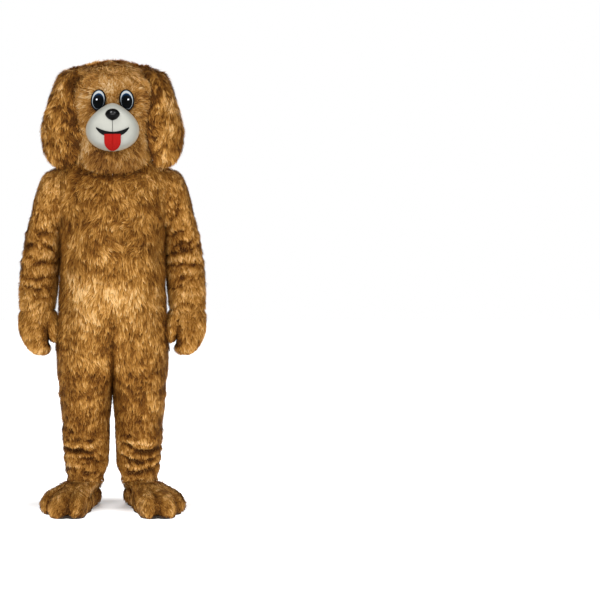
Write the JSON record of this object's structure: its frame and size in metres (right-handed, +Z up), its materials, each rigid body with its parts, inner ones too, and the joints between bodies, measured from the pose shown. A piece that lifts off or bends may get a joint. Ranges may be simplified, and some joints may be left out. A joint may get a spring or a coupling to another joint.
{
  "type": "dog mascot costume",
  "caption": "Full shaggy dog mascot costume in its worn shape, empty: head with long ears, body suit with sleeves and legs, mitts, tail and foot covers.",
  "frame": {"origin": "middle of the suit's neck opening, where the wearer's shoulders carry it", "axes": "+Z up, -Y the way the costume faces, +X its own left side"},
  "size_m": [0.7712, 0.5225, 1.82],
  "materials": {
    "fur": "long-pile brown fur fabric",
    "pale_fur": "shorter paler fur fabric",
    "white_shell": "smooth satin shell",
    "black": "glossy black",
    "red_felt": "red felt",
    "eye_white": "glossy painted white and pale blue",
    "eye_dark": "glossy painted dark blue and black",
    "sole": "matt sole sheet"
  },
  "bodies": {
    "root": {"suit_front_left": "fur", "suit_front_right": "fur", "suit_back_left": "fur", "suit_back_right": "fur", "sleeve_front_left": "fur", "sleeve_front_right": "fur", "sleeve_back_left": "fur", "sleeve_back_right": "fur", "mitt_back_left": "fur", "mitt_back_right": "fur", "mitt_palm_left": "fur", "mitt_palm_right": "fur", "thumb_back_left": "fur", "thumb_back_right": "fur", "thumb_palm_left": "fur", "thumb_palm_right": "fur", "foot_toes_left": "fur", "foot_toes_right": "fur", "foot_heel_left": "fur", "foot_heel_right": "fur", "tail_left": "fur", "tail_right": "fur", "head_crown_left": "fur", "head_crown_right": "fur", "ear_outer_left": "fur", "ear_outer_right": "fur", "ear_inner_left": "fur", "ear_inner_right": "fur", "head_face": "pale_fur", "muzzle": "white_shell", "nose": "black", "mouth": "black", "eye_rim_left": "black", "eye_rim_right": "black", "eye_white_left": "eye_white", "eye_white_right": "eye_white", "eye_dark_left": "eye_dark", "eye_dark_right": "eye_dark", "tongue": "red_felt", "sole_left": "sole", "sole_right": "sole"}
  },
  "joints": []
}
